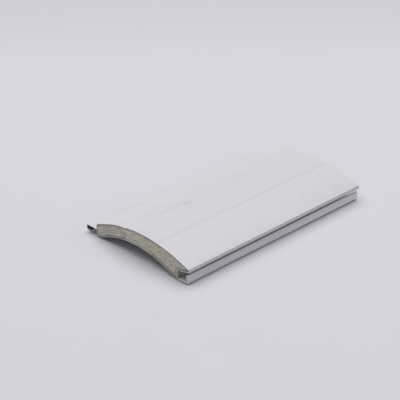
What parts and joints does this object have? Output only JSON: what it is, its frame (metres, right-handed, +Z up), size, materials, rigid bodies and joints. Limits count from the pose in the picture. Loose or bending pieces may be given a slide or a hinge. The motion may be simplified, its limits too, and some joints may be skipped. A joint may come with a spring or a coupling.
{
  "type": "roller shutter slat",
  "caption": "Curved foam-filled roller shutter slat: a white roll-formed aluminium strip around a foam core, with a hook along one edge and a lipped pocket along the other.",
  "frame": {"origin": "bottom centre of the bounding box, on the level floor that the slat lies on with its curved face up", "axes": "+X along the slat, +Y from the lip and pocket to the hook, +Z up through the crown of the outer face"},
  "size_m": [0.1, 0.0624, 0.0122],
  "materials": {
    "skin": "satin white coil coating on thin aluminium strip, bare metal at the sawn ends",
    "foam_core": "sawn rigid foam, beige-grey with fine cells"
  },
  "bodies": {
    "root": {"skin": "skin", "foam_core": "foam_core"}
  },
  "joints": []
}
